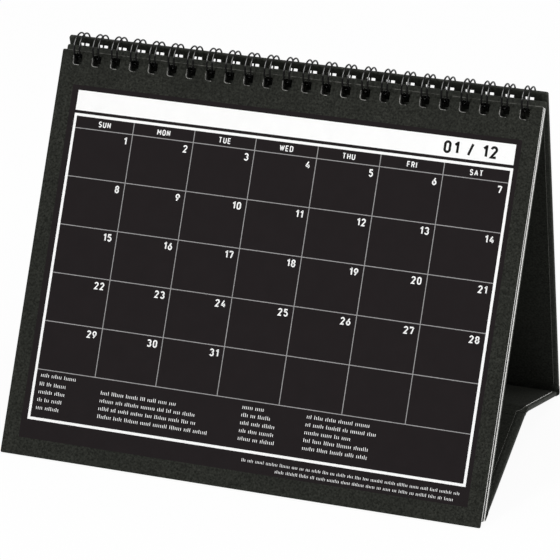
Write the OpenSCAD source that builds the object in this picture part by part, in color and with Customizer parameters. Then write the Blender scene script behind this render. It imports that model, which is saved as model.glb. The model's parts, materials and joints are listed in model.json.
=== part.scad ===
// Trifold desk calendar: a tent of four wrapped boards with a pad of
// punched leaves hung on a twin-loop wire along its top edge.
// X runs along the wire, -Y is the printed front, Z is up, millimetres.

/* [Leaves] */
// Width of a leaf along the wire
leaf_w = 210; // [190:1:215]
// Height of a leaf from bottom edge to punched edge
leaf_h = 173; // [150:1:190]
// Thickness of one leaf
leaf_t = 0.28; // [0.2:0.02:0.32]
// Distance from the front of one leaf to the front of the next, at the wire
leaf_pitch = 0.32; // [0.3:0.01:0.36]
// Corner radius of a leaf
leaf_corner_r = 0.7; // [0.5:0.1:4]
// Lean of the front leaf from upright
leaf_lean = 28.3; // [24:0.1:32]
// Angle between one leaf and the next, where the pad fans at its foot
leaf_fan = 0.01; // [0:0.01:0.02]
// Extra angle in the middle of the pad, where it parts in two
leaf_part = 0.52; // [0:0.02:0.52]
// How far the front leaf reaches below the leaves behind it
front_drop = 2.7; // [2.7:0.1:4]

/* [Punching] */
// Distance from hole to hole along the wire
hole_pitch = 8.5; // [7.9:0.05:8.6]
// Width of a punched hole
hole_w = 4; // [3.8:0.1:4.4]
// Height of a punched hole in a leaf
hole_h = 4.9; // [4.6:0.1:5.4]
// Paper left above a hole in a leaf
hole_edge = 1.2; // [1:0.1:1.6]

/* [Binding wire] */
// Half depth of a wire loop, to the middle of the wire
loop_r = 6.3; // [6.2:0.05:6.6]
// Half height of a wire loop, to the middle of the wire
loop_rise = 5.35; // [5.3:0.05:6]
// Diameter of the wire
wire_d = 0.96; // [0.7:0.02:1]
// Distance between the two wires of a twin loop
twin_gap = 2.4; // [2:0.1:2.5]

/* [Stand] */
// Lean of the front board from upright
front_lean = 27.6; // [23:0.1:31]
// Lean of the back board from upright
back_lean = 14.3; // [10:0.1:18]
// Thickness of a wrapped board without its liner
board_t = 2; // [1.6:0.1:2.2]
// Thickness of the paper that wraps a board
wrap_t = 0.25; // [0.15:0.05:0.3]
// Thickness of the liner on the inner face
liner_t = 0.2; // [0.1:0.05:0.3]
// Distance from a board's edge to its liner
liner_inset = 2.6; // [1.5:0.1:5]
// Where the ridge of the base lies, as a share of the stand's depth
ridge_at = 0.52; // [0.45:0.01:0.6]
// Height of the ridge's underside above the table
ridge_h = 19; // [13:0.5:24]

/* [Hidden] */
leaf_n = 13;
part_after = 6;
hole_margin = 6;
hole_n = floor((leaf_w - 2 * hole_margin) / hole_pitch) + 1;
foot_z = 0;
leaf_foot_z = foot_z + 0.6;
fold_gap = 0.6;
fold_r = board_t + fold_gap;
ridge_setback = 2;
rear_setback = 2.6;
// gap between the strip over the ridge and the rear board, so that the board can turn
ridge_slack = 0.06;
// radius of the crease at a bottom edge, and half angle of the flat that it stands on
crease_r = 0.9;
foot_half_a = 25;
board_w = leaf_w;
first_hole = -(hole_n - 1) * hole_pitch / 2;

// inner half depth and half height of the loops, and the radius that they stay within
in_y = (loop_r - wire_d / 2) * 0.955;
in_z = (loop_rise - wire_d / 2) * 0.955;
loop_out = loop_r + wire_d / 2;
play = 0.15;
// least distance from the wire's axis to a loop's inner side, in a sheet at offset n from the axis
function reach(n) = in_z * sqrt(1 - pow(n / in_y, 2));

// offset of each leaf's front face from the wire's axis, and its lean
front_n = 2.7;
function leaf_z(k) = front_n - (k - 1) * leaf_pitch;
function leaf_tilt(k) = leaf_lean - (k - 1) * leaf_fan - (k > part_after ? leaf_part : 0);

// wire axis: the holes of the front leaf clear the loops in every position, and its foot clears the table
leaf_top = reach(front_n) - play - hole_edge;
axis_z = leaf_foot_z + (leaf_top + leaf_h) * cos(leaf_lean) - (front_n - leaf_t) * sin(leaf_lean);
axis_y0 = (leaf_top + leaf_h) * sin(leaf_lean) + front_n * cos(leaf_lean);

// front board: front face just behind the last leaf
front_face = leaf_z(leaf_n) - leaf_t - 0.1;
front_rear = front_face - board_t;
front_hole_lo = sqrt(pow(loop_out, 2) - pow(front_face, 2)) + 0.5;
front_hole_hi = reach(front_rear) - 0.4;
front_top = front_hole_hi - 3.2;

// back board: offset of its inner face behind the wire's axis
back_face = 3.2;
back_rear = back_face + board_t;
back_hole_lo = sqrt(pow(loop_out, 2) - pow(back_face, 2)) + 0.35;
back_hole_hi = reach(back_rear) - 0.9;
back_top = 1.2;

// centres of the creases at the front and rear bottom edges, each inside its board's outer face
crease_z = foot_z + crease_r * cos(foot_half_a);
crease_f_y0 = axis_y0 - (front_face - crease_r + (axis_z - crease_z) * sin(front_lean)) / cos(front_lean);
crease_b_y0 = axis_y0 + (back_rear - crease_r + (axis_z - crease_z) * sin(back_lean)) / cos(back_lean);
depth = crease_b_y0 + crease_r;
y_shift = -depth / 2;
axis_y = axis_y0 + y_shift;
crease_f = [crease_f_y0 + y_shift, crease_z];
crease_b = [crease_b_y0 + y_shift, crease_z];
ridge = [crease_f[0] + (crease_b[0] - crease_f[0]) * ridge_at, foot_z + ridge_h];

// under faces of the base: from the ridge, tangent to each crease
to_f = ridge - crease_f;
to_b = crease_b - ridge;
base_front_a = atan2(to_f[1], to_f[0]) + asin(crease_r / norm(to_f));
base_rear_a = atan2(to_b[1], to_b[0]) - asin(crease_r / norm(to_b));

// directions out of the two faces that meet at a crease, and the fold line that both boards turn on
out_f = [180 - front_lean, 270 + base_front_a];
out_b = [270 + base_rear_a, 360 + back_lean];
function middle(a) = (a[0] + a[1]) / 2;
function fold_line(c, a) = c - (fold_r - crease_r) / cos((a[1] - a[0]) / 2) * [cos(middle(a)), sin(middle(a))];
fold_f = fold_line(crease_f, out_f);
fold_b = fold_line(crease_b, out_b);
dist_f = norm(ridge - fold_f);
dist_b = norm(fold_b - ridge);
base_front_len = sqrt(pow(dist_f, 2) - pow(fold_r, 2));
base_rear_len = sqrt(pow(dist_b, 2) - pow(fold_r, 2));
front_foot = (axis_y - fold_f[0]) * sin(front_lean) + (axis_z - fold_f[1]) * cos(front_lean);
back_foot = (fold_b[0] - axis_y) * sin(back_lean) + (axis_z - fold_b[1]) * cos(back_lean);

leaf_col = [0.93, 0.92, 0.90];
print_col = [0.16, 0.16, 0.15];
wrap_col = [0.17, 0.18, 0.16];
liner_col = [0.12, 0.13, 0.12];
core_col = [0.55, 0.52, 0.47];
wire_col = [0.07, 0.07, 0.07];

// puts a shape drawn about the wire's axis at a lean: local y runs up the sheet
module on_wire(angle) {
  translate([0, axis_y, axis_z]) rotate([angle, 0, 0]) children();
}

module hole_row(lo, hi) {
  for (i = [0:hole_n - 1])
    translate([first_hole + i * hole_pitch - hole_w / 2, lo]) square([hole_w, hi - lo]);
}

function corner(x, y, r, a0) = [for (i = [0:4]) [x + r * cos(a0 + i * 22.5), y + r * sin(a0 + i * 22.5)]];

module sheet_outline(w, lo, hi, r) {
  polygon(concat(corner(w / 2 - r, lo + r, r, 270), corner(w / 2 - r, hi - r, r, 0),
    corner(-w / 2 + r, hi - r, r, 90), corner(-w / 2 + r, lo + r, r, 180)));
}

// one leaf of the pad, counted from the front
module leaf(k) {
  top = -leaf_top;
  foot = top - leaf_h + (k > 1 ? front_drop : 0);
  color(k == 1 ? print_col : leaf_col)
    on_wire(90 - leaf_tilt(k))
      translate([0, 0, leaf_z(k) - leaf_t])
        linear_extrude(height = leaf_t)
          difference() {
            sheet_outline(leaf_w, foot, top, leaf_corner_r);
            hole_row(top - hole_edge - hole_h, top - hole_edge);
          }
}

// stiff core of a board between two heights, wrapped at its upper end
module core_plate(w, lo, hi, z0, h_lo, h_hi, holes) {
  color(core_col)
    translate([0, 0, z0 + wrap_t])
      linear_extrude(height = board_t - 2 * wrap_t)
        difference() {
          translate([-w / 2 + wrap_t, lo]) square([w - 2 * wrap_t, hi - lo]);
          if (holes) hole_row(h_lo, h_hi);
        }
}

// paper sleeve round a core: both faces, both sides and, if closed, the upper end
module wrap_plate(w, lo, hi, z0, h_lo, h_hi, holes, closed) {
  color(wrap_col)
    difference() {
      translate([-w / 2, lo, z0]) cube([w, hi - lo + (closed ? wrap_t : 0), board_t]);
      translate([-w / 2 + wrap_t, lo - (closed ? 1 : 0.5), z0 + wrap_t])
        cube([w - 2 * wrap_t, hi - lo + 1, board_t - 2 * wrap_t]);
      if (holes)
        translate([0, 0, z0 - 1]) linear_extrude(height = board_t + 2) hole_row(h_lo, h_hi);
    }
}

// liner sheet on the inner face
module liner_plate(w, lo, hi, z0, h_lo, h_hi, holes) {
  color(liner_col)
    translate([0, 0, z0])
      linear_extrude(height = liner_t)
        difference() {
          translate([-w / 2 + liner_inset, lo]) square([w - 2 * liner_inset, hi - lo]);
          if (holes) hole_row(h_lo, h_hi);
        }
}

// front board, leaning back behind the pad
module front_core() {
  on_wire(90 - front_lean)
    core_plate(board_w, -front_foot, -front_top - wrap_t, front_rear, -front_hole_lo, -front_hole_hi, true);
}
module front_wrap() {
  on_wire(90 - front_lean)
    wrap_plate(board_w, -front_foot, -front_top - wrap_t, front_rear,
      -front_hole_lo, -front_hole_hi, true, true);
}
module front_liner() {
  on_wire(90 - front_lean)
    liner_plate(board_w, -front_foot + 2, -front_hole_lo - liner_inset, front_rear - liner_t, 0, 0, false);
}

// back board, leaning forward behind the wire
module back_core() {
  on_wire(90 + back_lean)
    core_plate(board_w, -back_foot, back_top - wrap_t, -back_rear, -back_hole_lo, -back_hole_hi, true);
}
module back_wrap() {
  on_wire(90 + back_lean)
    wrap_plate(board_w, -back_foot, back_top - wrap_t, -back_rear, -back_hole_lo, -back_hole_hi, true, true);
}
module back_liner() {
  on_wire(90 + back_lean)
    liner_plate(board_w, -back_foot + 2, -back_hole_lo - liner_inset, -back_face, 0, 0, false);
}

module from_front_fold() {
  translate([0, ridge[0], ridge[1]]) rotate([base_front_a, 0, 0]) children();
}
module from_ridge() {
  translate([0, ridge[0], ridge[1]]) rotate([base_rear_a, 0, 0]) children();
}

// base, front half: from the front fold up to the ridge
module base_front_core() {
  from_front_fold() core_plate(board_w, -base_front_len, -ridge_setback, 0, 0, 0, false);
}
module base_front_wrap() {
  from_front_fold() wrap_plate(board_w, -base_front_len, -ridge_setback, 0, 0, 0, false, false);
}
module base_front_liner() {
  from_front_fold()
    liner_plate(board_w, -base_front_len + 2, -ridge_setback - liner_inset, board_t, 0, 0, false);
}

// base, rear half: from the ridge down to the rear fold
module base_rear_core() {
  from_ridge() core_plate(board_w, ridge_setback, base_rear_len - rear_setback, 0, 0, 0, false);
}
module base_rear_wrap() {
  from_ridge() wrap_plate(board_w, ridge_setback, base_rear_len - rear_setback, 0, 0, 0, false, false);
}
module base_rear_liner() {
  from_ridge()
    liner_plate(board_w, ridge_setback + liner_inset, base_rear_len - rear_setback - 2, board_t, 0, 0, false);
}

// paper round a bottom edge: straight from both boards' ends to a crease, which is flat where it stands
function arc(c, r, a0, a1) = [for (i = [0:12])
  c + r * [cos(a0 + (a1 - a0) * i / 12), sin(a0 + (a1 - a0) * i / 12)]];
function reversed(p) = [for (i = [len(p) - 1:-1:0]) p[i]];
function ray(a) = [cos(a), sin(a)];
module standing(z) {
  intersection() {
    children();
    translate([-leaf_h, z]) square([2 * leaf_h, leaf_h]);
  }
}
module fold_round(fold, c, a) {
  r = fold_r - wrap_t;
  outer = concat([fold, fold + fold_r * ray(a[0])], arc(c, crease_r, a[0], a[1]), [fold + fold_r * ray(a[1])]);
  inner = concat([fold - fold_r * ray(middle(a)), fold + r * ray(a[0]) + ray(a[0] - 90)],
    arc(c, crease_r - wrap_t, a[0], a[1]), [fold + r * ray(a[1]) + ray(a[1] + 90)]);
  color(wrap_col)
    translate([-board_w / 2, 0, 0]) rotate([90, 0, 90]) linear_extrude(height = board_w)
      difference() {
        standing(foot_z) polygon(outer);
        standing(foot_z + wrap_t) polygon(inner);
      }
}
module front_fold() {
  fold_round(fold_f, crease_f, out_f);
}
module rear_fold() {
  fold_round(fold_b, crease_b, out_b);
}

// paper that bridges the ridge: a fill between the two boards and a strip over both, set a little into the fill
module ridge_fold() {
  lap = ridge_setback + liner_inset - 0.2;
  bite = 0.1;
  fa = base_front_a;
  ra = base_rear_a;
  lo = board_t;
  hi = board_t + liner_t;
  function on_f(y, z) = ridge + [y * cos(fa) - z * sin(fa), y * sin(fa) + z * cos(fa)];
  function on_r(y, z) = ridge + [y * cos(ra) - z * sin(ra), y * sin(ra) + z * cos(ra)];
  function crest(r) = arc(ridge, r, 90 + fa, 90 + ra);
  fill = concat([ridge, on_f(-ridge_setback, 0), on_f(-ridge_setback, lo)], crest(lo),
    [on_r(ridge_setback - 0.1, lo), on_r(ridge_setback - 0.1, 0)]);
  strip = concat([on_f(-lap, lo), on_f(-lap, hi)], crest(hi),
    [on_r(lap, hi), on_r(lap, lo + ridge_slack)], reversed(crest(lo + ridge_slack)),
    [on_f(0, lo - bite), on_f(bite - ridge_setback, lo - bite), on_f(bite - ridge_setback, lo)]);
  color(wrap_col)
    rotate([90, 0, 90]) {
      translate([0, 0, -board_w / 2]) linear_extrude(height = board_w) polygon(fill);
      translate([0, 0, -board_w / 2 + liner_inset])
        linear_extrude(height = board_w - 2 * liner_inset) polygon(strip);
    }
}

// binding wire: one wire that goes round in a pair of loops at each hole.
// A point on it is [x, angle round the wire's axis]
root_a = -70;
tip_a = -400.6;
mm = 180 / (PI * loop_r);
bend = 0.9;
arc_steps = 11;
function strand_up(x) = concat(
  [[x - bend, root_a], [x - 0.27 * bend, root_a - 0.27 * bend * mm]],
  [for (i = [0:arc_steps])
    [x, root_a - bend * mm + (tip_a - root_a + bend * mm) * i / arc_steps]]);
function tip(x) = [for (i = [1:3])
  [x - twin_gap / 2 * cos(45 * i), tip_a - twin_gap / 2 * mm * sin(45 * i)]];
function mirror_x(p, x) = [for (i = [len(p) - 1:-1:0]) [2 * x - p[i][0], p[i][1]]];
function twin(x) = concat(strand_up(x - twin_gap / 2), tip(x), mirror_x(strand_up(x - twin_gap / 2), x));
wire_path = [for (i = [0:hole_n - 1]) each twin(first_hole + i * hole_pitch)];

function at(p) = [p[0], axis_y + loop_r * cos(p[1]), axis_z + loop_rise * sin(p[1])];
function unit(v) = v / norm(v);
module tube(path, d, sides) {
  n = len(path);
  pos = [for (p = path) at(p)];
  pts = [for (i = [0:n - 1])
    let (t = unit(pos[min(i + 1, n - 1)] - pos[max(i - 1, 0)]),
      r = [0, cos(path[i][1]), sin(path[i][1])],
      b = unit(cross(t, r)),
      u = cross(b, t))
    each [for (s = [0:sides - 1]) pos[i] + d / 2 * (u * cos(360 * s / sides) + b * sin(360 * s / sides))]];
  walls = [for (i = [0:n - 2]) for (s = [0:sides - 1])
    let (a = i * sides + s, b = i * sides + (s + 1) % sides)
    each [[a, b, a + sides], [b, b + sides, a + sides]]];
  ends = [for (s = [1:sides - 2]) each [[0, s + 1, s],
    [(n - 1) * sides, (n - 1) * sides + s, (n - 1) * sides + s + 1]]];
  polyhedron(points = pts, faces = concat(walls, ends), convexity = 10);
}
module binding_wire() {
  color(wire_col) tube(wire_path, wire_d, 6);
}

// least gap of the wire to itself, measured between points of two neighbouring loops
two = [for (p = concat(twin(first_hole), twin(first_hole + hole_pitch))) at(p)];
wire_gap = min([for (i = [0:len(two) - 8]) for (j = [i + 7:len(two) - 1]) norm(two[i] - two[j])]) - wire_d;
echo(wire_gap = wire_gap);

leaf(1);  // leaf_01
leaf(2);  // leaf_02
leaf(3);  // leaf_03
leaf(4);  // leaf_04
leaf(5);  // leaf_05
leaf(6);  // leaf_06
leaf(7);  // leaf_07
leaf(8);  // leaf_08
leaf(9);  // leaf_09
leaf(10);  // leaf_10
leaf(11);  // leaf_11
leaf(12);  // leaf_12
leaf(13);  // leaf_13
binding_wire();
front_core();
front_wrap();
front_liner();
front_fold();
base_front_core();
base_front_wrap();
base_front_liner();
ridge_fold();
base_rear_core();
base_rear_wrap();
base_rear_liner();
back_core();
back_wrap();
back_liner();
rear_fold();
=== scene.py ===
import json
import math
from typing import NamedTuple

import bpy
import numpy as np
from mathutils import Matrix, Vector


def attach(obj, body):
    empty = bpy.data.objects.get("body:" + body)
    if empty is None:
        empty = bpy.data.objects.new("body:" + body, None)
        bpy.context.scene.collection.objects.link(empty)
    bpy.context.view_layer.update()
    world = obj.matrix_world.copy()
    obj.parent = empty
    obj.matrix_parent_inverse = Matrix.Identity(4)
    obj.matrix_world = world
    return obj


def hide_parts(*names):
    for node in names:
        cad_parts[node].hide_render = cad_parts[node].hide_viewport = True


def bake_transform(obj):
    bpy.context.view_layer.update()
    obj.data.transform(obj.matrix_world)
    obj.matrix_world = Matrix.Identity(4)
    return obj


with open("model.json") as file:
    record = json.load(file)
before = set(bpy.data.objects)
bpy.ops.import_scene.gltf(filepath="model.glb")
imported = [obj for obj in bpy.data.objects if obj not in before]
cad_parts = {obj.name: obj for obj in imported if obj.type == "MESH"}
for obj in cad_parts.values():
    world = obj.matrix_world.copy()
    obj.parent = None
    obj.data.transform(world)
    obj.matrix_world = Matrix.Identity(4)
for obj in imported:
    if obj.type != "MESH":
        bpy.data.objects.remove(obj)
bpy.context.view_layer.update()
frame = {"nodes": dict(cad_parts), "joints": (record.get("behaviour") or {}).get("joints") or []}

# Trifold desk calendar. Lengths are in metres, in the CAD frame:
# X along the wire, -Y the printed front, Z up.
MM = 0.001
JOINTS = {joint["name"]: joint for joint in frame["joints"]}
WIRE_AXIS = np.array(JOINTS["back_fold"]["pos_m"])
FRONT_FOLD = np.array(JOINTS["base_front_fold"]["pos_m"])
RIDGE = np.array(JOINTS["base_rear_fold"]["pos_m"])
LEAVES = sorted(n for n in frame["nodes"] if n.startswith("leaf_"))
ALONG = np.array([1.0, 0.0, 0.0])

# photo camera: pinhole with its axis at the middle of the picture
PHOTO_PX = 560
FOCAL_PX = 3373.67
SENSOR_MM = 36.0
CAMERA_AZIMUTH = math.radians(18.588)
CAMERA_ELEVATION = math.radians(24.654)
CAMERA_DISTANCE = 1394.1 * MM
CAMERA_TARGET = Vector((6.155 * MM, -25.05 * MM, 79.41 * MM))

# boards: roundings, punched holes and the liner sheets on their inner faces
BOARD_EDGE_R = 0.55 * MM
BOARD_CORNER_R = 0.9 * MM
BOARD_HOLE_R = 0.5 * MM
BACK_HOLE_SHIFT = (-0.7 * MM, -0.1 * MM)
BACK_HOLE_DROP = 0.55 * MM
LINER_INSET = 2.6 * MM
LINER_CORNER_R = 0.4 * MM
# what a liner gains at each side over its half width in the frame
LINER_STEPS = {"base_front": -1.1 * MM, "base_rear": 1.1 * MM, "back": 0.5 * MM}

# folds: the creases at the bottom edges and the paper over the base's ridge
PAPER_T = 0.25 * MM
CREASE_R = 0.9 * MM
CREASE_POINTS = 25
BEYOND_CREASE_POINTS = 9
FLAP_GAP = 0.05 * MM
RIDGE_GROOVE = 0.5 * MM
RIDGE_SETBACK = 2.0 * MM
RIDGE_STRIP_T = 0.2 * MM
RIDGE_STRIP_GAP = 0.2 * MM
GROOVE_POINTS = 11

# leaves: roundings, worn paper with a painted highlight on the lower left of the holes' rims, the leaves
# with dark cut edges and those with pale walls in their holes
LEAF_CORNER_R = 0.7 * MM
LEAF_HOLE_R = 1.15 * MM
HOLE_RIM = 0.2 * MM
# the rim is pale at the left of each hole and under its left part: worn paper, with a painted highlight
# where light would catch the punched lip
RIM_HIGHLIGHT_SHARE = 0.75
WORN_EDGE = 0.3 * MM
DIVIDERS = LEAVES[4:7]
# the walls in the holes of the leaves behind these are painted dark as shade
PALE_HOLED = LEAVES[:3]

# where the points of a node belong to its holes: at most so deep, and so far in from its outline
PUNCHED_DEPTH = 20.0 * MM
BELOW_TOP = 0.5 * MM
FROM_SIDE = 2.0 * MM

# binding wire: half depth of a loop, its height above and below the axis, and the run's angles
LOOP_R = 6.3 * MM
LOOP_UP = 4.95 * MM
LOOP_DOWN = 5.35 * MM
WIRE_D = 0.76 * MM
TWIN_GAP = 2.4 * MM
ROOT_ANGLE = math.radians(-70)
TIP_ANGLE = math.radians(-400.6)
ROOT_BEND = 0.9 * MM
WIRE_SIDES = 14
STRAND_POINTS = 60
BEND_POINTS = 5
TIP_POINTS = 11

# grid lines: the least step between two, a step too fine to see, and what counts as the same place
LEAST_STEP = 0.002 * MM
HAIR = 0.01 * MM
TINY = 0.001 * MM
# decimals of a metre that points and holes' sides are rounded to
PLACE_DIGITS = 7
HOLE_DIGITS = 6
# lines in the quarter turn of an edge and of a hole's corner
EDGE_LINES = 6
HOLE_CORNER_LINES = 5

# edges that turn by more degrees than this are drawn sharp
SHARP_DEG = 35.0
BOARD_SHARP_DEG = 50.0
WIRE_SHARP_DEG = 60.0

# print on a leaf: u from the middle, v up from the front leaf's bottom edge
PRINT_H = 173.0 * MM
PANEL = (-98.0 * MM, 98.4 * MM, 7.6 * MM, 158.4 * MM)
HEADER = (-95.2 * MM, 96.2 * MM, 147.8 * MM, 156.3 * MM)
FRAME = (-95.3 * MM, 96.4 * MM, 15.6 * MM, 146.5 * MM)
FRAME_LINE = 1.12 * MM
GRID_LINE = 0.35 * MM
COLUMNS = 7
ROWS = 5
FIRST_COLUMN_LINE = -68.2 * MM
COLUMN_PITCH = 27.15 * MM
HEAD_LINE = 140.3 * MM
ROW_PITCH = 20.65 * MM
DATE_SIZE = 3.2 * MM
DATE_FROM_RIGHT = 2.2 * MM
DATE_FROM_TOP = 1.5 * MM
WEEKDAY_SIZE = 2.5 * MM
TITLE_SIZE = 5.3 * MM
TITLE_RIGHT = 89.0 * MM
TITLE_BASE = 149.3 * MM
INK_LIFT = 0.012 * MM
WEEKDAYS = ("SUN", "MON", "TUE", "WED", "THU", "FRI", "SAT")
MONTH_DAYS = (31, 28, 31, 30, 31, 30, 31, 31, 30, 31, 30, 31)

# blocks of tick rows, in millimetres: left end, first row, step down and each row's right end
TICK_BLOCKS = (
    (-92.0, 34.0, 3.35, (-75.5,)),
    (-92.0, 30.3, 3.35, (-82.0,) * 4),
    (-64.4, 30.3, 3.3, (-33.0, -27.0, -22.5, -19.0)),
    (-2.0, 33.4, 3.25, (8.0,) * 5),
    (26.0, 33.4, 3.25, (53.0, 57.0, 46.0, 51.0, 54.0)),
)
# the two smaller rows under the frame, in millimetres: left end, right end and height
SMALL_TICK_ROWS = ((1.0, 93.0, 11.9), (16.0, 93.0, 9.1))
TICK_SIZE = 1.15 * MM
SMALL_TICK_SIZE = 0.95 * MM
# shares of a row's size: step from tick to tick, a tick's weight and its height
TICK_PITCH = 0.7
TICK_WEIGHT = 0.22
TICK_HEIGHTS = (1.0, 1.0, 1.0, 1.35)
# ticks in a group: from three up to one less than nine
GROUP_FROM = 3
GROUP_BELOW = 9
TICK_SEED = 5

# kinds of face on a plate, and the places of a leaf's and a board's materials on their meshes
FRONT, BACK, OUTER_WALL, HOLE_WALL = range(4)
ON_BORDER, ON_PANEL, ON_WHITE, ON_LINE, ON_BACK, ON_EDGE, ON_HOLE, ON_WORN_EDGE, ON_RIM = range(9)
ON_WRAP, ON_CUT, ON_LINER = range(3)

# stage: the floor's half size, the share of plain white in it, the room's strength as light and as it is
# seen, and the lamps with their places, sizes and watts
FLOOR_HALF = 4.0
FLOOR_WHITE = 0.94
ROOM_LIGHT = 0.47
SEEN_LIGHT = 1.0
LAMP_AIM = Vector((0.0, 0.0, 0.08))
LAMPS = (
    ("key", (-0.7, -1.5, 1.5), 0.35, 12.8),
    ("fill", (1.6, -0.5, 0.8), 1.0, 12.0),
    ("top", (0.1, 0.3, 1.8), 1.4, 8.0),
)


# Materials


def material(name, colour, roughness, specular):
    """A Principled material with its constant values on the shader's own sockets."""
    mat = bpy.data.materials.new(name)
    mat.use_nodes = True
    shader = mat.node_tree.nodes["Principled BSDF"]
    shader.inputs["Base Color"].default_value = (*colour, 1.0)
    shader.inputs["Roughness"].default_value = roughness
    shader.inputs["Specular IOR Level"].default_value = specular
    return mat, mat.node_tree, shader


def noise(tree, scale, detail=3.0, roughness=0.55):
    """Noise on Object coordinates, with scale of its features per metre."""
    coord = tree.nodes.new("ShaderNodeTexCoord")
    tex = tree.nodes.new("ShaderNodeTexNoise")
    tex.inputs["Scale"].default_value = scale
    tex.inputs["Detail"].default_value = detail
    tex.inputs["Roughness"].default_value = roughness
    tree.links.new(coord.outputs["Object"], tex.inputs["Vector"])
    return tex.outputs["Fac"]


def between(tree, value, low, high, out_low, out_high):
    """Maps value from low..high to out_low..out_high, clamped."""
    node = tree.nodes.new("ShaderNodeMapRange")
    limits = {"From Min": low, "From Max": high, "To Min": out_low, "To Max": out_high}
    for key, number in limits.items():
        node.inputs[key].default_value = number
    tree.links.new(value, node.inputs["Value"])
    return node.outputs["Result"]


def blend_colours(tree, factor, first, second):
    """Mixes two colours, or a socket and a colour, by factor."""
    node = tree.nodes.new("ShaderNodeMix")
    node.data_type = "RGBA"
    tree.links.new(factor, node.inputs["Factor"])
    for socket, colour in ((node.inputs[6], first), (node.inputs[7], second)):
        if isinstance(colour, tuple):
            socket.default_value = (*colour, 1.0)
        else:
            tree.links.new(colour, socket)
    return node.outputs[2]


def bump(tree, shader, height, depth, strength):
    """Bump of the given depth in metres from a height between 0 and 1."""
    node = tree.nodes.new("ShaderNodeBump")
    node.inputs["Strength"].default_value = strength
    node.inputs["Distance"].default_value = depth
    tree.links.new(height, node.inputs["Height"])
    tree.links.new(node.outputs["Normal"], shader.inputs["Normal"])


def grained_paper(name, dark, light, roughness, grain, depth, specular):
    """Dyed paper with an embossed grain: grain of its bumps to the metre, each depth high.

    Fine noise lifts the colour and the surface, and broad noise clouds the colour."""
    mat, tree, shader = material(name, dark, roughness, specular)
    fine = noise(tree, grain, 4.0, 0.62)
    cloud = noise(tree, 45.0, 2.0)
    grained = blend_colours(tree, between(tree, fine, 0.36, 0.68, 0.0, 1.0), dark, light)
    clouded = blend_colours(tree, between(tree, cloud, 0.35, 0.7, 0.0, 0.35), grained, dark)
    tree.links.new(clouded, shader.inputs["Base Color"])
    polish = between(tree, fine, 0.3, 0.7, roughness + 0.1, roughness - 0.08)
    tree.links.new(polish, shader.inputs["Roughness"])
    bump(tree, shader, fine, depth, 0.6)
    return mat


def printed_ink(name, colour, roughness, cloud_share=0.12):
    """Flat ink on card: a faint cloud in the colour and the card's fine tooth in the surface."""
    mat, tree, shader = material(name, colour, roughness, 0.08)
    cloud = noise(tree, 160.0, 3.0)
    paler = tuple(min(1.0, c * (1 + cloud_share)) for c in colour)
    clouded = blend_colours(tree, between(tree, cloud, 0.3, 0.7, 0.0, 1.0), colour, paler)
    tree.links.new(clouded, shader.inputs["Base Color"])
    bump(tree, shader, noise(tree, 3200.0, 2.0), 0.006 * MM, 0.35)
    return mat


def cut_edge(name, colour, shade):
    """Cut edge of card or paper: fine fibres in two tones."""
    mat, tree, shader = material(name, colour, 0.85, 0.1)
    fibre = noise(tree, 5200.0, 3.0, 0.6)
    fibred = blend_colours(tree, between(tree, fibre, 0.35, 0.65, 0.0, 1.0), colour, shade)
    tree.links.new(fibred, shader.inputs["Base Color"])
    bump(tree, shader, fibre, 0.01 * MM, 0.5)
    return mat


def worn_paper(name, colour, worn, patch):
    """Dyed paper worn to its pale core in patches, patch of them per metre."""
    mat, tree, shader = material(name, colour, 0.8, 0.08)
    share = between(tree, noise(tree, patch, 3.0), 0.4, 0.62, 0.0, 1.0)
    tree.links.new(blend_colours(tree, share, colour, worn), shader.inputs["Base Color"])
    bump(tree, shader, noise(tree, 4000.0, 2.0), 0.01 * MM, 0.5)
    return mat


def coated_wire(name, colour, highlight_colour, highlight_side):
    """Wire with a black coat: satin, with slight orange peel, and a paler painted highlight on the faces
    whose normal turns to the given side.
    """
    mat, tree, shader = material(name, colour, 0.2, 0.1)
    geometry = tree.nodes.new("ShaderNodeNewGeometry")
    facing = tree.nodes.new("ShaderNodeVectorMath")
    facing.operation = "DOT_PRODUCT"
    facing.inputs[1].default_value = highlight_side
    tree.links.new(geometry.outputs["Normal"], facing.inputs[0])
    # painted highlight: paler where the normal faces that side, the key light's gleam fixed in the colour
    share = between(tree, facing.outputs["Value"], 0.92, 0.99, 0.0, 1.0)
    tree.links.new(blend_colours(tree, share, colour, highlight_colour), shader.inputs["Base Color"])
    polish = between(tree, noise(tree, 420.0, 2.0), 0.35, 0.7, 0.14, 0.28)
    tree.links.new(polish, shader.inputs["Roughness"])
    bump(tree, shader, noise(tree, 1500.0, 2.0), 0.008 * MM, 0.4)
    return mat


WRAP = grained_paper("wrap_paper", (0.0142, 0.0153, 0.0126), (0.0416, 0.0444, 0.0374),
                     roughness=0.72, grain=1250.0, depth=0.06 * MM, specular=0.12)
BORDER = grained_paper("leaf_border", (0.0075, 0.0082, 0.0063), (0.0328, 0.0348, 0.0287),
                       roughness=0.74, grain=1150.0, depth=0.05 * MM, specular=0.1)
LINER = grained_paper("liner_paper", (0.0094, 0.0101, 0.0083), (0.0242, 0.0259, 0.0212),
                      roughness=0.78, grain=1250.0, depth=0.03 * MM, specular=0.08)
PANEL_INK = printed_ink("panel_ink", (0.0106, 0.0082, 0.0088), 0.7)
WORN_EDGE_PAPER = worn_paper("worn_edge", (0.03, 0.031, 0.027), (0.115, 0.115, 0.105), 500.0)
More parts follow.
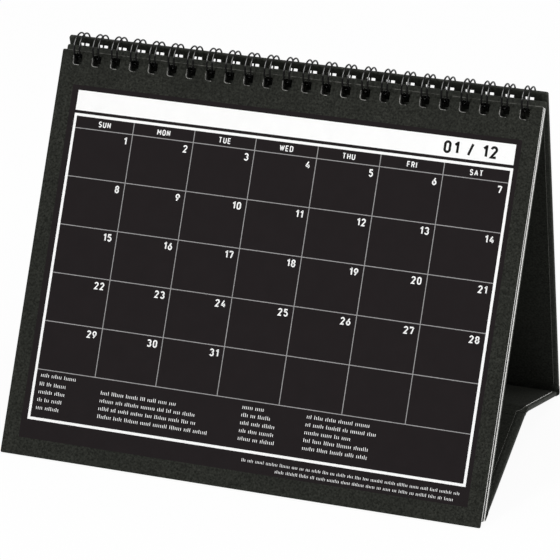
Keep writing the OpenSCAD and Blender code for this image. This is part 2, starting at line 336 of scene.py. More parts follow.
# pale rim round the front leaf's holes: worn core, with a painted highlight of the punched lip
PUNCHED_RIM_HIGHLIGHT = worn_paper("punched_rim_wear_and_highlight", (0.045, 0.045, 0.042), (0.36, 0.36, 0.34), 700.0)
WHITE_INK = printed_ink("white_ink", (0.93, 0.93, 0.925), 0.7, 0.02)
LINE_INK = printed_ink("line_ink", (0.29, 0.285, 0.285), 0.7)
TITLE_INK = printed_ink("title_ink", (0.004, 0.0035, 0.0035), 0.6)
CARD_BACK = printed_ink("card_back", (0.80, 0.79, 0.77), 0.8, 0.05)
CARD_EDGE = cut_edge("card_edge", (0.90, 0.90, 0.88), (0.72, 0.72, 0.69))
HOLE_EDGE = cut_edge("hole_edge", (0.34, 0.34, 0.32), (0.16, 0.16, 0.15))
# dark cut edge: the divider leaves' own edges, and painted shade on the hole walls of the deeper leaves
DARK_EDGE = cut_edge("divider_edge_and_hole_shade", (0.05, 0.05, 0.047), (0.03, 0.03, 0.028))
LINER_EDGE = cut_edge("liner_edge", (0.26, 0.26, 0.24), (0.13, 0.13, 0.12))
BOARD_CUT = cut_edge("board_cut", (0.06, 0.058, 0.052), (0.03, 0.029, 0.026))
# black wire with a grey painted highlight on the upper front of its loops, where the key light gleams
WIRE = coated_wire("black_wire", (0.002, 0.002, 0.002), (0.40, 0.40, 0.39), (0.0, -0.72, 0.69))


# Meshes


def mesh_object(name, points, faces, mats, slots=None, sharp_deg=SHARP_DEG):
    """A mesh object at the origin, smooth except along edges sharper than sharp_deg."""
    mesh = bpy.data.meshes.new(name)
    mesh.from_pydata(np.asarray(points).tolist(), [], [list(f) for f in faces])
    for mat in mats:
        mesh.materials.append(mat)
    if slots is not None:
        mesh.polygons.foreach_set("material_index", np.asarray(slots, np.int32))
    mesh.polygons.foreach_set("use_smooth", np.ones(len(mesh.polygons), bool))
    mesh.update()
    mesh.set_sharp_from_angle(angle=math.radians(sharp_deg))
    obj = bpy.data.objects.new(name, mesh)
    bpy.context.scene.collection.objects.link(obj)
    return obj


def used_only(points, faces):
    """Drops the points that no face uses."""
    keep, faces = np.unique(faces, return_inverse=True)
    return points[keep], faces.reshape(-1, 4)


class Holes(NamedTuple):
    """A row of punched holes with rounded corners.

    sides are the two sides of each hole in u, low and high its ends in v, corner the radius of its
    corners, and rim the width of the ring round it, pale on its left and lower side: worn paper with a
    painted highlight."""
    sides: np.ndarray
    low: float
    high: float
    corner: float
    rim: float = 0.0

    def outlines(self):
        """How far out from a hole its outlines run: its own edge and, if it has one, its rim's."""
        return (0.0, self.rim) if self.rim else (0.0,)

    def u_lines(self):
        """Lines of u where the corners of each outline turn: R (1 - cos t) in from its sides."""
        turn = 1 - np.cos(np.linspace(0, math.pi / 2, HOLE_CORNER_LINES))
        left, right = self.sides[:, :1], self.sides[:, 1:]
        lines = [(left - out + (self.corner + out) * turn, right + out - (self.corner + out) * turn)
                 for out in self.outlines()]
        return np.concatenate([side for pair in lines for side in pair])

    def v_lines(self):
        """Lines of v at the bottom and top of each outline."""
        return np.concatenate([[self.low - out, self.high + out] for out in self.outlines()])

    def rise(self, u, out):
        """How far an outline's bottom rises, and its top sinks, at each u, to round its corners.

        With d in from the outline's side that is R - sqrt(R^2 - (R - d)^2). Along the rim beside a
        hole the hole's own lines stay at the ends of its straight side."""
        radius = self.corner + out
        inward = np.minimum(u[:, None] - self.sides[:, 0], self.sides[:, 1] - u[:, None]).max(1) + out
        left = radius - np.clip(inward, 0, radius)
        arc = radius - np.sqrt(np.maximum(radius**2 - left**2, 0))
        beside = radius + HAIR if out == 0 and self.rim else 0.0
        return np.where(inward > -TINY, arc, np.where(inward > -self.rim - TINY, beside, 0.0))

    def inside(self, u, v, out=0.0):
        """True at the places u, v that lie in a hole, or within out of it."""
        in_u = ((u[:, None] > self.sides[:, 0] - out) & (u[:, None] < self.sides[:, 1] + out)).any(1)
        return in_u & (v > self.low - out) & (v < self.high + out)

    def worn(self, u, v):
        """True on the rim at the left of a hole, and under its left part: the side of the punched lip
        where a highlight is painted on the worn paper.
        """
        left, right = self.sides.T
        beside = ((u[:, None] > left - self.rim) & (u[:, None] < left)).any(1)
        under_end = left + RIM_HIGHLIGHT_SHARE * (right - left)
        under = ((u[:, None] > left) & (u[:, None] < under_end)).any(1)
        return self.inside(u, v, self.rim) & ((beside & (v < self.high)) | (under & (v < self.low)))


class Plate:
    """A flat node's own axes: u along X, v up the plate and n through it.

    v is the direction across X in which the node's points spread most, and n is X cross v.
    outside is +1 where n points out of the stand, and -1 where it points into the tent."""

    def __init__(self, node, outside=1):
        mesh = frame["nodes"][node].data
        flat = np.empty(len(mesh.vertices) * 3, np.float32)
        mesh.vertices.foreach_get("co", flat)
        points = np.unique(np.round(flat.reshape(-1, 3).astype(float), PLACE_DIGITS), axis=0)
        spread = points[:, 1:] - points[:, 1:].mean(0)
        up = np.append(0.0, np.linalg.eigh(spread.T @ spread)[1][:, 1])
        self.up = up * np.sign(up[2])
        self.out = np.cross(ALONG, self.up)
        self.u, self.v, self.n = points[:, 0], points @ self.up, points @ self.out
        self.half = self.u.max()
        self.low, self.high = self.v.min(), self.v.max()
        self.back, self.front = self.n.min(), self.n.max()
        self.skin = outside * self.out
        self.skin_at = self.front if outside > 0 else -self.back

    def at(self, u, v, n):
        """Points at u, v, n in the frame."""
        u, v, n = np.broadcast_arrays(u, v, n)
        return u[..., None] * ALONG + v[..., None] * self.up + n[..., None] * self.out

    def printed(self, u, v):
        """Points of the print, which hangs from the upper edge, just above the front face."""
        return self.at(u, self.high - PRINT_H + v, self.front + INK_LIFT)

    def holes(self, corner, rim=0.0):
        """The punched holes, from the node's points inside its outline."""
        top_zone = (self.v > self.high - PUNCHED_DEPTH) & (self.v < self.high - BELOW_TOP)
        inside = top_zone & (np.abs(self.u) < self.half - FROM_SIDE)
        sides = np.unique(np.round(self.u[inside], HOLE_DIGITS)).reshape(-1, 2)
        return Holes(sides, self.v[inside].min(), self.v[inside].max(), corner, rim)


def edge_lines(low, high, radius):
    """Lines close to both ends, where a rounding of that radius turns: r - r cos(t)."""
    turn = radius * (1 - np.cos(np.linspace(0, math.pi / 2, EDGE_LINES)))
    return np.concatenate([low + turn, high - turn])


def merge_lines(*groups):
    """Sorted lines without near doubles."""
    lines = np.unique(np.round(np.concatenate([np.ravel(g) for g in groups]), PLACE_DIGITS))
    return lines[np.append(True, np.diff(lines) > LEAST_STEP)]


def plate_surface(plate, u_lines, v_lines, holes, edge_r, corner_r, low_edge_round=True):
    """A punched plate as a grid on u_lines by v_lines, front and back, with walls where card ends.

    Columns near a side are shortened to the corner's arc, c(u) = R - sqrt(R^2 - (R - du)^2), and the
    holes' outlines are rounded alike. Both faces sink towards the edges by r - sqrt(r^2 - (r - d)^2),
    where d is the distance from the outline. Returns points, quads, the kind of each quad, and the
    middles in u and v of the front quads, which the back quads share."""
    U, V = np.meshgrid(u_lines, v_lines, indexing="ij")
    du = plate.half - np.abs(U)
    cut = corner_r - np.sqrt(np.maximum(corner_r**2 - np.maximum(corner_r - du, 0) ** 2, 0))
    share = (V - plate.low) / (plate.high - plate.low)
    low_cut = cut if low_edge_round else 0 * cut
    V = V + low_cut * (1 - share) - cut * share
    if holes:
        for out in holes.outlines():
            rise = holes.rise(u_lines, out)
            V[:, np.abs(v_lines - holes.low + out).argmin()] += rise
            V[:, np.abs(v_lines - holes.high - out).argmin()] -= rise
    dv = plate.high - V
    if low_edge_round:
        dv = np.minimum(dv, V - plate.low)
    depth = corner_r - np.hypot(np.maximum(corner_r - du, 0), np.maximum(corner_r - dv, 0))
    sink = edge_r - np.sqrt(np.maximum(edge_r**2 - np.maximum(edge_r - depth, 0) ** 2, 0))
    points = np.concatenate([plate.at(U, V, plate.front - sink).reshape(-1, 3),
                             plate.at(U, V, plate.back + sink).reshape(-1, 3)])

    nu, nv = len(u_lines), len(v_lines)
    index = np.arange(nu * nv).reshape(nu, nv)
    other = index + nu * nv
    mid_u = (u_lines[1:] + u_lines[:-1]) / 2
    mid_v = (v_lines[1:] + v_lines[:-1]) / 2
    middles = np.stack(np.meshgrid(mid_u, mid_v, indexing="ij"), -1)
    card = np.ones((nu - 1, nv - 1), bool)
    if holes:
        card = ~holes.inside(*middles.reshape(-1, 2).T).reshape(card.shape)

    def corners(grid):
        return np.stack([grid[:-1, :-1], grid[1:, :-1], grid[1:, 1:], grid[:-1, 1:]], -1)

    front = corners(index)[card]
    back = corners(other)[card][:, ::-1]
    outer = np.pad(card, 1)
    step_u = outer[1:, 1:-1].astype(int) - outer[:-1, 1:-1]
    step_v = outer[1:-1, 1:].astype(int) - outer[1:-1, :-1]
    wall_u = np.stack([index[:, :-1], index[:, 1:], other[:, 1:], other[:, :-1]], -1)
    wall_v = np.stack([index[:-1], other[:-1], other[1:], index[1:]], -1)
    walls = [wall_u[step_u > 0], wall_u[step_u < 0][:, ::-1],
             wall_v[step_v > 0], wall_v[step_v < 0][:, ::-1]]
    rim_u = np.zeros(step_u.shape, bool)
    rim_u[[0, -1]] = True
    rim_v = np.zeros(step_v.shape, bool)
    rim_v[:, [0, -1]] = True
    rims = [rim_u[step_u > 0], rim_u[step_u < 0], rim_v[step_v > 0], rim_v[step_v < 0]]
    quads = np.concatenate([front, back, *walls])
    wall_kinds = np.where(np.concatenate(rims), OUTER_WALL, HOLE_WALL)
    kinds = np.concatenate([np.full(len(front), FRONT), np.full(len(back), BACK), wall_kinds])
    points, quads = used_only(points, quads)
    return points, quads, kinds, middles[card]


def profile_strip(outline, x0, x1):
    """A closed outline in y and z carried along X from x0 to x1, which may differ from point to point.

    Returns points and faces, the last two of which are the ends."""
    outline = np.asarray(outline)
    count = len(outline)
    points = np.concatenate([np.column_stack([np.full(count, x), outline]) for x in (x0, x1)])
    here = np.arange(count)
    after = np.roll(here, -1)
    sides = np.stack([here, after, after + count, here + count], -1)
    area = np.sum(outline[:, 0] * np.roll(outline[:, 1], -1) - np.roll(outline[:, 0], -1) * outline[:, 1])
    faces = [list(f) for f in sides] + [list(here[::-1]), list(here + count)]
    if area < 0:
        faces = [f[::-1] for f in faces]
    return points, faces


def join_parts(parts):
    """Several (points, faces) as one."""
    starts = np.cumsum([0] + [len(p) for p, _ in parts[:-1]])
    faces = [[i + int(s) for i in f] for (_, fs), s in zip(parts, starts) for f in fs]
    return np.concatenate([p for p, _ in parts]), faces


def place(piece, body, slot, *nodes):
    """Rides the piece on its body, in place of its nodes; slot is not used."""
    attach(piece, body)
    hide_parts(*nodes)


# Figures and letters as strokes, one unit tall and x from 0

BOW_STEP_DEG = 15
LEAST_MITRE = 0.5


def bow(x, y, rx, ry, start, end):
    """Points on an elliptical arc about x, y, from start to end in degrees."""
    turn = np.radians(np.linspace(start, end, max(3, int(abs(end - start) / BOW_STEP_DEG) + 1)))
    return np.column_stack([x + rx * np.cos(turn), y + ry * np.sin(turn)])


def joined(*pieces):
    """One stroke from points and arcs in a row."""
    return np.vstack([np.atleast_2d(np.asarray(p, float)) for p in pieces])


def turned(strokes, width):
    """Strokes turned by half a turn in their own box."""
    return [np.array([width, 1.0]) - s for s in strokes]


# half the width of a round figure
HALF = 0.25
SIX = [bow(HALF, 0.30, HALF, 0.30, 90, 450), joined((0.40, 1.0), (0.045, 0.44))]
RING = joined(bow(HALF, 0.75, HALF, HALF, 0, 180), bow(HALF, 0.25, HALF, HALF, 180, 360), (0.5, 0.75))
STROKES = {
    "0": [RING],
    "1": [joined((0.0, 0.76), (0.25, 1.0), (0.27, 1.0), (0.27, 0.0))],
    "2": [joined(bow(HALF, 0.74, HALF, 0.26, 170, -22), (0.02, 0.0), (0.5, 0.0))],
    "3": [bow(0.26, 0.76, 0.25, 0.24, 160, -90), bow(0.27, 0.26, 0.27, 0.26, 90, -160)],
    "4": [joined((0.38, 1.0), (0.0, 0.27)), joined((0.0, 0.27), (0.62, 0.27)),
          joined((0.43, 0.55), (0.43, 0.0))],
    "5": [joined((0.48, 1.0), (0.06, 1.0), (0.04, 0.54)), bow(HALF, 0.31, HALF, 0.31, 132, -158)],
    "6": SIX,
    "7": [joined((0.0, 0.84), (0.0, 1.0), (0.5, 1.0)), joined((0.5, 1.0), (0.2, 0.0))],
    "8": [bow(HALF, 0.765, 0.22, 0.235, 90, 450), bow(HALF, 0.265, HALF, 0.265, 90, 450)],
    "9": turned(SIX, 0.5),
    "/": [joined((0.0, -0.06), (0.36, 1.06))],
    "A": [joined((0.0, 0.0), (0.29, 1.0)), joined((0.29, 1.0), (0.58, 0.0)),
          joined((0.12, 0.28), (0.46, 0.28))],
    "D": [joined((0.0, 0.0), (0.0, 1.0), bow(HALF, 0.75, HALF, HALF, 90, 0),
                 bow(HALF, 0.25, HALF, HALF, 0, -90), (0.0, 0.0))],
    "E": [joined((0.46, 1.0), (0.0, 1.0), (0.0, 0.0), (0.46, 0.0)), joined((0.0, 0.5), (0.4, 0.5))],
    "F": [joined((0.46, 1.0), (0.0, 1.0), (0.0, 0.0)), joined((0.0, 0.48), (0.4, 0.48))],
    "H": [joined((0.0, 0.0), (0.0, 1.0)), joined((0.52, 0.0), (0.52, 1.0)),
          joined((0.0, 0.5), (0.52, 0.5))],
    "I": [joined((0.0, 0.0), (0.0, 1.0))],
    "M": [joined((0.0, 0.0), (0.0, 1.0)), joined((0.0, 1.0), (0.33, 0.32)),
          joined((0.33, 0.32), (0.66, 1.0)), joined((0.66, 1.0), (0.66, 0.0))],
    "N": [joined((0.0, 0.0), (0.0, 1.0)), joined((0.0, 1.0), (0.52, 0.0)),
          joined((0.52, 0.0), (0.52, 1.0))],
    "O": [RING],
    "R": [joined((0.0, 0.0), (0.0, 1.0), bow(0.24, 0.74, 0.26, 0.26, 90, -90), (0.0, 0.48)),
          joined((0.26, 0.48), (0.5, 0.0))],
    "S": [joined(bow(0.24, 0.755, 0.24, 0.245, 25, 262), bow(0.24, 0.255, 0.25, 0.255, 82, -155))],
    "T": [joined((0.0, 1.0), (0.54, 1.0)), joined((0.27, 1.0), (0.27, 0.0))],
    "U": [joined((0.0, 1.0), bow(0.26, 0.26, 0.26, 0.26, 180, 360), (0.52, 1.0))],
    "W": [joined((0.0, 1.0), (0.2, 0.0)), joined((0.2, 0.0), (0.4, 0.9)),
          joined((0.4, 0.9), (0.6, 0.0)), joined((0.6, 0.0), (0.8, 1.0))],
    " ": [],
}
# shares of a letter's size: the width of a space, the weights of strokes and the gap between letters
SPACE_WIDTH = 0.12
DATE_WEIGHT = 0.175
WEEKDAY_WEIGHT = 0.165
TITLE_WEIGHT = 0.2
LETTER_GAP = 0.2


def ribbon(stroke, weight):
    """A flat band along a stroke, weight wide: each point moves to both sides along its mitre."""
    step = np.diff(stroke, axis=0)
    step /= np.linalg.norm(step, axis=1)[:, None]
    ends = (step[-1], step[0]) if np.allclose(stroke[0], stroke[-1]) else (step[0], step[-1])
    before = np.vstack([ends[0], step])
    after = np.vstack([step, ends[1]])
    mitre = before + after
    mitre /= np.linalg.norm(mitre, axis=1)[:, None]
    reach = weight / 2 / np.maximum(np.sum(mitre * after, axis=1), LEAST_MITRE)
    side = np.column_stack([-mitre[:, 1], mitre[:, 0]]) * reach[:, None]
    count = len(stroke)
    faces = [[count + i, count + i + 1, i + 1, i] for i in range(count - 1)]
    return np.vstack([stroke + side, stroke - side]), faces


def line_of_type(plate, words, size, weight, u, v, align):
    """Words set on the plate's front with their baseline at v, from u on, about u or up to u.

    align is 0, 0.5 or 1 for that. A stroke's middle line runs in a box that is the letter's size less
    the stroke's weight."""
    inner = 1 - weight
    widths = [weight + inner * max([stroke[:, 0].max() for stroke in STROKES[letter]], default=SPACE_WIDTH)
              for letter in words]
    pen = -align * (sum(widths) + LETTER_GAP * (len(words) - 1))
    parts = []
    for letter, width in zip(words, widths):
        for stroke in STROKES[letter]:
            flat, faces = ribbon(stroke * inner, weight)
            across = u + size * (flat[:, 0] + weight / 2 + pen)
            parts.append((plate.printed(across, v + size * (flat[:, 1] + weight / 2)), faces))
        pen += width + LETTER_GAP
    return parts


# Print


def row_lines():
    """Heights of the grid's lines, from the head line down."""
    return HEAD_LINE - ROW_PITCH * np.arange(ROWS + 1)


def column_lines():
    """Places of the lines between the columns."""
    return FIRST_COLUMN_LINE + COLUMN_PITCH * np.arange(COLUMNS - 1)


def inside(u, v, box):
    """True where u, v lies in the box."""
    return (u > box[0]) & (u < box[1]) & (v > box[2]) & (v < box[3])


def inner_frame():
    """The space inside the white frame."""
    return (FRAME[0] + FRAME_LINE, FRAME[1] - FRAME_LINE, FRAME[2] + FRAME_LINE, FRAME[3] - FRAME_LINE)


def print_lines():
    """Lines of u and of v at which the print changes."""
    inner = inner_frame()
    half = GRID_LINE / 2
    us = [PANEL[:2], HEADER[:2], FRAME[:2], inner[:2], column_lines() - half, column_lines() + half]
    vs = [PANEL[2:], HEADER[2:], FRAME[2:], inner[2:], row_lines() - half, row_lines() + half]
    return merge_lines(*us), merge_lines(*vs)


def print_slots(u, v):
    """Place of the material of each front quad on a leaf: border, panel, white or grid line."""
    inner = inner_frame()
    in_inner = inside(u, v, inner)
    rows, columns = row_lines(), column_lines()
    on_row = (np.abs(v[:, None] - rows) < GRID_LINE / 2).any(1)
    on_column = (np.abs(u[:, None] - columns) < GRID_LINE / 2).any(1) & (v > rows[-1])
    slots = np.full(len(u), ON_BORDER)
    slots[inside(u, v, PANEL)] = ON_PANEL
    slots[inside(u, v, HEADER) | (inside(u, v, FRAME) & ~in_inner)] = ON_WHITE
    slots[in_inner & (on_row | on_column)] = ON_LINE
    return slots


def tick_row(plate, rng, u0, u1, v, height):
    """A row of short ticks in groups, from u0 until u1 is passed."""
    parts = []
    pen = u0
    while pen < u1:
        for _ in range(rng.integers(GROUP_FROM, GROUP_BELOW)):
            tall = height * rng.choice(TICK_HEIGHTS)
            flat, faces = ribbon(np.array([[pen, v], [pen, v + tall]]), TICK_WEIGHT * height)
            parts.append((plate.printed(flat[:, 0], flat[:, 1]), faces))
            pen += TICK_PITCH * height
        pen += TICK_PITCH * height
    return parts


def tick_rows(plate, rng):
    """Rows of ticks under the grid in two pairs of columns, and two smaller rows under the frame."""
    rows = [(left, right, first - step * row, TICK_SIZE)
            for left, first, step, rights in TICK_BLOCKS for row, right in enumerate(rights)]
    rows += [(left, right, v, SMALL_TICK_SIZE) for left, right, v in SMALL_TICK_ROWS]
    return [part for left, right, v, size in rows
            for part in tick_row(plate, rng, left * MM, right * MM, v * MM, size)]


def dates(plate, first_column, days):
    """Date figures at the upper right of their cells; a sixth week goes below the fifth."""
    rights = np.append(column_lines(), FRAME[1] - FRAME_LINE) - DATE_FROM_RIGHT
    parts = []
    for day in range(1, days + 1):
        week, column = divmod(first_column + day - 1, COLUMNS)
        v = row_lines()[min(week, ROWS - 1)] - DATE_FROM_TOP - DATE_SIZE
        if week >= ROWS:
            v -= DATE_SIZE + DATE_FROM_TOP
        parts += line_of_type(plate, str(day), DATE_SIZE, DATE_WEIGHT, rights[column], v, 1.0)
    return parts


def weekday_heads(plate):
    """Weekday heads in the middle of their columns."""
    lines = np.concatenate([[FRAME[0] + FRAME_LINE], column_lines(), [FRAME[1] - FRAME_LINE]])
    v = (HEAD_LINE + FRAME[3] - FRAME_LINE - WEEKDAY_SIZE) / 2
    return [p for word, u in zip(WEEKDAYS, (lines[1:] + lines[:-1]) / 2)
            for p in line_of_type(plate, word, WEEKDAY_SIZE, WEEKDAY_WEIGHT, u, v, 0.5)]


# Pieces


def make_leaf(node, month, first_column):
    """One leaf: a punched card with rounded corners, its print as faces of the card and figures on it.

    The front leaf is dyed and its upper edge worn pale. The leaves where the pad parts have dark cut
    edges, and the others pale ones. Returns the column in which the next month starts."""
    plate = Plate(node)
    first = node == LEAVES[0]
    holes = plate.holes(LEAF_HOLE_R, HOLE_RIM if first else 0.0)
    print_u, print_v = print_lines()
    u_lines = merge_lines(edge_lines(-plate.half, plate.half, LEAF_CORNER_R), holes.u_lines(), print_u)
    worn = plate.high - WORN_EDGE
    v_lines = merge_lines([plate.low, worn, plate.high], holes.v_lines(), plate.high - PRINT_H + print_v)
    points, quads, kinds, middles = plate_surface(plate, u_lines, v_lines, holes, 0.0, LEAF_CORNER_R)
    slots = np.choose(kinds, [ON_BORDER, ON_BACK, ON_EDGE, ON_HOLE])
    face = print_slots(middles[:, 0], middles[:, 1] - plate.high + PRINT_H)
    if first:
        face[middles[:, 1] > worn] = ON_WORN_EDGE
        # rim of the holes on the lit side: worn paper with a painted highlight
        face[holes.worn(*middles.T)] = ON_RIM
    slots[kinds == FRONT] = face
    edge = BORDER if first else DARK_EDGE if node in DIVIDERS else CARD_EDGE
    # the deeper leaves' hole walls take the dark edge as painted shade
    hole_edge = HOLE_EDGE if node in PALE_HOLED else DARK_EDGE
    mats = [BORDER, PANEL_INK, WHITE_INK, LINE_INK, CARD_BACK, edge, hole_edge,
            WORN_EDGE_PAPER, PUNCHED_RIM_HIGHLIGHT]
    slot = "printed_card" if first else "leaf_card"
    place(mesh_object(node + "_card", points, quads, mats, slots), node, slot, node)

    days = MONTH_DAYS[month - 1]
    rng = np.random.default_rng(TICK_SEED + month)
    white = dates(plate, first_column, days) + weekday_heads(plate) + tick_rows(plate, rng)
    figures = mesh_object(node + "_figures", *join_parts(white), [WHITE_INK])
    words = "%02d / %d" % (month, len(MONTH_DAYS))
    title = line_of_type(plate, words, TITLE_SIZE, TITLE_WEIGHT, TITLE_RIGHT, TITLE_BASE, 1.0)
    heading = mesh_object(node + "_title", *join_parts(title), [TITLE_INK])
    for piece in (figures, heading):
        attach(piece, node)
    return (first_column + days) % COLUMNS


def make_board(name, body, outside, punched, hole_shift=(0.0, 0.0), hole_drop=0.0):
    """A wrapped board: rounded edges and corners, lined inside, with bare board in its holes' walls.

    hole_shift moves the two sides of each hole along X, and hole_drop lowers its upper edge."""
    plate = Plate(name + "_wrap", outside)
    holes = None
    if punched:
        holes = plate.holes(BOARD_HOLE_R)
        holes = holes._replace(sides=holes.sides + np.array(hole_shift),
                               high=holes.high - hole_drop)
    lined = plate.half - LINER_INSET
    u_parts = [edge_lines(-plate.half, plate.half, BOARD_CORNER_R), [-lined, lined]]
    v_parts = [edge_lines(plate.low, plate.high, BOARD_CORNER_R)]
    if punched:
        u_parts.append(holes.u_lines())
        v_parts.append(holes.v_lines())
    points, quads, kinds, middles = plate_surface(
        plate, merge_lines(*u_parts), merge_lines(*v_parts), holes, BOARD_EDGE_R, BOARD_CORNER_R, False)
    slots = np.where(kinds == HOLE_WALL, ON_CUT, ON_WRAP)
    inner_face = BACK if outside > 0 else FRONT
    slots[kinds == inner_face] = np.where(np.abs(middles[:, 0]) < lined, ON_LINER, ON_WRAP)
    mats = [WRAP, BOARD_CUT, LINER]
    board = mesh_object(name + "_board", points, quads, mats, slots, BOARD_SHARP_DEG)
    place(board, body, "wrap_paper", name + "_wrap", name + "_core")
    return plate


def make_liner(name, body, edge):
    """Liner sheet on a board's inner face, with paler cut edges at its two sides."""
    plate = Plate(name + "_liner")
    plate.half += LINER_STEPS.get(name, 0.0)
    u_lines = merge_lines(edge_lines(-plate.half, plate.half, LINER_CORNER_R))
    v_lines = merge_lines(edge_lines(plate.low, plate.high, LINER_CORNER_R))
    points, quads, kinds, _ = plate_surface(plate, u_lines, v_lines, None, 0.0, LINER_CORNER_R)
    at_side = np.abs(points[quads].mean(1)[:, 0]) > plate.half - LINER_CORNER_R / 2
    slots = np.where((kinds == OUTER_WALL) & at_side, 1, 0)
    sheet = mesh_object(name + "_sheet", points, quads, [LINER, edge], slots)
    place(sheet, body, "liner_paper", name + "_liner")


def angle_of(direction):
    """Angle of a direction in the plane across X, from +Y towards +Z."""
    return math.atan2(direction[2], direction[1])


def inside_both(first, second, depth):
    """The point in y and z that lies that deep inside the outer faces of two boards."""
    faces = [first.skin[1:], second.skin[1:]]
    return np.linalg.solve(faces, [first.skin_at - depth, second.skin_at - depth])


def crease_paper(first, second, fold_r):
    """Paper round the bottom edge between two boards: its outer and inner runs, and the crease's end.

    It leaves each board's end, fold_r out from the fold line, runs straight on along the board's outer
    face, and turns in an arc of radius CREASE_R that is flat where it stands."""
    fold = inside_both(first, second, fold_r)
    centre = inside_both(first, second, CREASE_R)
    start, end = angle_of(first.skin), angle_of(second.skin)
    turn = np.linspace(start, end + 2 * math.pi if end < start else end, CREASE_POINTS)
    ring = np.column_stack([np.cos(turn), np.sin(turn)])

    def run(inset):
        arc = centre + (CREASE_R - inset) * ring
        last = fold + (fold_r - inset) * ring[-1]
        beyond = np.linspace(arc[-1], last, BEYOND_CREASE_POINTS)[1:]
        path = np.vstack([fold + (fold_r - inset) * ring[0], arc, beyond])
        path[:, 1] = np.maximum(path[:, 1], inset)
        return path

    return run(0.0), run(PAPER_T), centre + CREASE_R * ring[-1]


def make_front_fold(front, base):
    """Bottom edge between the front board and the base: paper round the crease, fixed in the frame.

    Returns the distance from the fold line to the boards' outer faces."""
    fold_r = front.skin_at - FRONT_FOLD @ front.skin
    outer, inner, crease_end = crease_paper(front, base, fold_r)
    outline = np.vstack([outer, inner[::-1]])
    piece = mesh_object("front_fold_paper", *profile_strip(outline, -front.half, front.half), [WRAP])
    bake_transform(piece)
    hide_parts("front_fold")
    return fold_r


def make_rear_fold(base, back, fold_r):
    """Bottom edge under the back board, with a flap that reaches to the base's rear end."""
    outer, inner, _ = crease_paper(base, back, fold_r)
    flap = (base.low - outer[0] @ base.up[1:] - FLAP_GAP) * base.up[1:]
    outline = np.vstack([outer[0] + flap, outer, inner[::-1], inner[0] + flap])
    piece = mesh_object("rear_fold_paper", *profile_strip(outline, -back.half, back.half), [WRAP])
    place(piece, "stand_back", "wrap_paper", "rear_fold")


def make_ridge_fold(base_front, base_rear):
    """Ridge paper: a fill between the boards' ends and a lining strip over both, fixed in the frame.

    Across the gap both dip below the chord between the boards' upper edges by RIDGE_GROOVE sin(pi s).
    The strip is as wide as each liner where it meets it."""
    t = base_front.front - base_front.back
    strip_top = t + RIDGE_STRIP_T
    ridge = RIDGE[1:]
    lap = RIDGE_SETBACK + LINER_INSET - RIDGE_STRIP_GAP

    def on(plate, along, height):
        return ridge + along * plate.up[1:] - height * plate.skin[1:]

    def groove(height):
        first, last = on(base_front, -RIDGE_SETBACK, height), on(base_rear, -RIDGE_SETBACK, height)
        share = np.linspace(0, 1, GROOVE_POINTS)[:, None]
        down = base_front.skin[1:] + base_rear.skin[1:]
        dip = RIDGE_GROOVE * np.sin(math.pi * share) * down / np.linalg.norm(down)
        return first + share * (last - first) + dip

    fill = np.vstack([ridge, on(base_front, -RIDGE_SETBACK, 0), groove(t),
                      on(base_rear, -RIDGE_SETBACK, 0)])
    strip = np.vstack([on(base_front, -lap, t), on(base_front, -lap, strip_top), groove(strip_top),
                       on(base_rear, -lap, strip_top), on(base_rear, -lap, t), groove(t)[::-1]])
    half = base_front.half
    widths = half - LINER_INSET + np.array([LINER_STEPS["base_front"], LINER_STEPS["base_rear"]])
    across = np.linspace(*widths, GROOVE_POINTS)
    strip_half = np.concatenate([[widths[0]] * 2, across, [widths[1]] * 2, across[::-1]])
    fill_part = profile_strip(fill, -half, half)
    strip_part = profile_strip(strip, -strip_half, strip_half)
    slots = [0] * len(fill_part[1]) + [1] * (len(strip_part[1]) - 2) + [2, 2]
    paper = join_parts([fill_part, strip_part])
    piece = mesh_object("ridge_paper", *paper, [WRAP, LINER, LINER_EDGE], slots)
    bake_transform(piece)
    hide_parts("ridge_fold")


def wire_path(centres):
    """The wire's run as distance along X and angle about the wire's axis.

    Each hole has two strands that rise from the root, go round and meet in a half circle at the tip;
    a quarter bend joins each strand's root to the next hole's."""
    bend = np.linspace(0, math.pi / 2, BEND_POINTS, endpoint=False)
    root_x = -ROOT_BEND * (1 - np.sin(bend))
    root_a = ROOT_ANGLE - ROOT_BEND / LOOP_R * (1 - np.cos(bend))
    strand_a = np.linspace(ROOT_ANGLE - ROOT_BEND / LOOP_R, TIP_ANGLE, STRAND_POINTS)
    half = TWIN_GAP / 2
    tip = np.linspace(0, math.pi, TIP_POINTS + 2)[1:-1]
    x = np.concatenate([root_x - half, np.full(STRAND_POINTS, -half), -half * np.cos(tip)])
    a = np.concatenate([root_a, strand_a, TIP_ANGLE - half / LOOP_R * np.sin(tip)])
    rising = BEND_POINTS + STRAND_POINTS
    x = np.concatenate([x, -x[:rising][::-1]])
    a = np.concatenate([a, a[:rising][::-1]])
    return (centres[:, None] + x).ravel(), np.tile(a, len(centres))


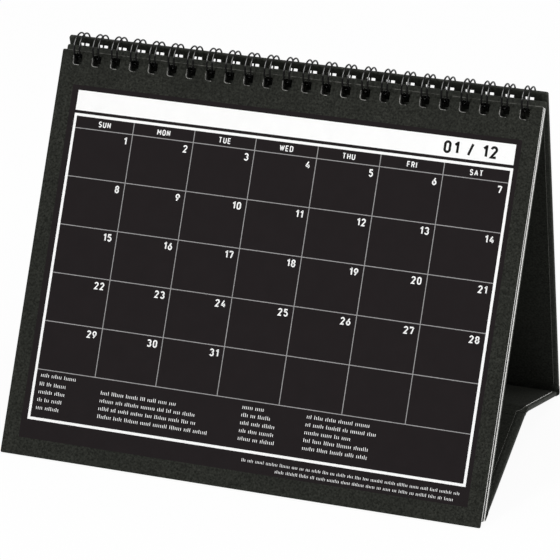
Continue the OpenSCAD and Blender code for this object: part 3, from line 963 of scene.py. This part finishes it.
def make_wire(centres):
    """Round tube along the wire's run, on loops of two half ellipses, capped at both ends.

    Each ring is run + r (cos t lift + sin t side), with lift and side across the run's direction."""
    x, a = wire_path(centres)
    radial = np.column_stack([0 * a, np.cos(a), np.sin(a)])
    rise = np.where(np.sin(a) > 0, LOOP_UP, LOOP_DOWN)
    run = np.column_stack([x, WIRE_AXIS[1] + LOOP_R * np.cos(a), WIRE_AXIS[2] + rise * np.sin(a)])
    tangent = np.gradient(run, axis=0)
    tangent /= np.linalg.norm(tangent, axis=1)[:, None]
    side = np.cross(tangent, radial)
    side /= np.linalg.norm(side, axis=1)[:, None]
    lift = np.cross(side, tangent)
    turn = np.linspace(0, 2 * math.pi, WIRE_SIDES, endpoint=False)
    ring = np.cos(turn)[:, None] * lift[:, None] + np.sin(turn)[:, None] * side[:, None]
    rings = run[:, None] + WIRE_D / 2 * ring
    count = len(run)
    index = np.arange(count * WIRE_SIDES).reshape(count, WIRE_SIDES)
    after = np.roll(index, -1, 1)
    walls = np.stack([index[:-1], after[:-1], after[1:], index[1:]], -1).reshape(-1, 4)
    faces = [list(f) for f in walls] + [list(index[0, ::-1]), list(index[-1])]
    piece = mesh_object("twin_loop_wire", rings.reshape(-1, 3), faces, [WIRE], None, WIRE_SHARP_DEG)
    place(piece, "stand_front", "black_wire", "binding_wire")


# Stage


def seen_directly(tree):
    """1 for rays from the camera and for what gloss and glass show, else 0."""
    rays = tree.nodes.new("ShaderNodeLightPath")
    value = rays.outputs["Is Camera Ray"]
    for name in ("Is Glossy Ray", "Is Transmission Ray"):
        either = tree.nodes.new("ShaderNodeMath")
        either.operation = "MAXIMUM"
        tree.links.new(value, either.inputs[0])
        tree.links.new(rays.outputs[name], either.inputs[1])
        value = either.outputs["Value"]
    return value


def make_floor():
    """A pale floor that keeps a light shadow: FLOOR_WHITE of what is seen of it is plain white."""
    corners = FLOOR_HALF * np.array([(-1, -1, 0), (1, -1, 0), (1, 1, 0), (-1, 1, 0)])
    floor = mesh_object("floor", corners, [(0, 1, 2, 3)], [])
    mat, tree, shader = material("floor_white", (0.93, 0.93, 0.93), 0.9, 0.0)
    white = tree.nodes.new("ShaderNodeEmission")
    mixed = tree.nodes.new("ShaderNodeMixShader")
    white_share = between(tree, seen_directly(tree), 0.0, 1.0, 0.0, FLOOR_WHITE)
    tree.links.new(white_share, mixed.inputs["Fac"])
    tree.links.new(shader.outputs["BSDF"], mixed.inputs[1])
    tree.links.new(white.outputs["Emission"], mixed.inputs[2])
    tree.links.new(mixed.outputs["Shader"], tree.nodes["Material Output"].inputs["Surface"])
    floor.data.materials.append(mat)


def make_light():
    """A soft key light from the front left, a fill from the right, a top light and a bright room."""
    for name, lamp_at, size, watts in LAMPS:
        light = bpy.data.lights.new(name, "AREA")
        light.size = size
        light.energy = watts
        lamp = bpy.data.objects.new(name, light)
        lamp.location = lamp_at
        lamp.rotation_euler = (LAMP_AIM - Vector(lamp_at)).to_track_quat("-Z", "Y").to_euler()
        bpy.context.scene.collection.objects.link(lamp)
    world = bpy.data.worlds.new("studio")
    world.use_nodes = True
    tree = world.node_tree
    room = tree.nodes["Background"]
    room.inputs["Color"].default_value = (1.0, 1.0, 1.0, 1.0)
    strength = between(tree, seen_directly(tree), 0.0, 1.0, ROOM_LIGHT, SEEN_LIGHT)
    tree.links.new(strength, room.inputs["Strength"])
    bpy.context.scene.world = world
    bpy.context.scene.view_settings.view_transform = "Standard"


def make_camera():
    """The photo's camera: round the target by azimuth and elevation."""
    data = bpy.data.cameras.new("photo")
    data.sensor_width = SENSOR_MM
    data.lens = FOCAL_PX / PHOTO_PX * SENSOR_MM
    camera = bpy.data.objects.new("photo", data)
    flat = math.cos(CAMERA_ELEVATION)
    back = Vector((math.sin(CAMERA_AZIMUTH) * flat,
                   -math.cos(CAMERA_AZIMUTH) * flat,
                   math.sin(CAMERA_ELEVATION)))
    camera.location = CAMERA_TARGET + CAMERA_DISTANCE * back
    camera.rotation_euler = back.to_track_quat("Z", "Y").to_euler()
    bpy.context.scene.collection.objects.link(camera)
    bpy.context.scene.camera = camera


make_camera()
make_floor()
make_light()

first_column = 0
for number, leaf_node in enumerate(LEAVES):
    first_column = make_leaf(leaf_node, number % len(MONTH_DAYS) + 1, first_column)

front_plate = make_board("front", "stand_front", 1, True)
back_plate = make_board("back", "stand_back", -1, True, BACK_HOLE_SHIFT, BACK_HOLE_DROP)
base_front_plate = make_board("base_front", "base_front", -1, False)
base_rear_plate = make_board("base_rear", "base_rear", 1, False)
make_liner("front", "stand_front", LINER_EDGE)
make_liner("back", "stand_back", LINER_EDGE)
make_liner("base_front", "base_front", LINER_EDGE)
make_liner("base_rear", "base_rear", CARD_EDGE)

bottom_fold_r = make_front_fold(front_plate, base_front_plate)
make_rear_fold(base_rear_plate, back_plate, bottom_fold_r)
make_ridge_fold(base_front_plate, base_rear_plate)
make_wire(Plate(LEAVES[0]).holes(LEAF_HOLE_R).sides.mean(1))
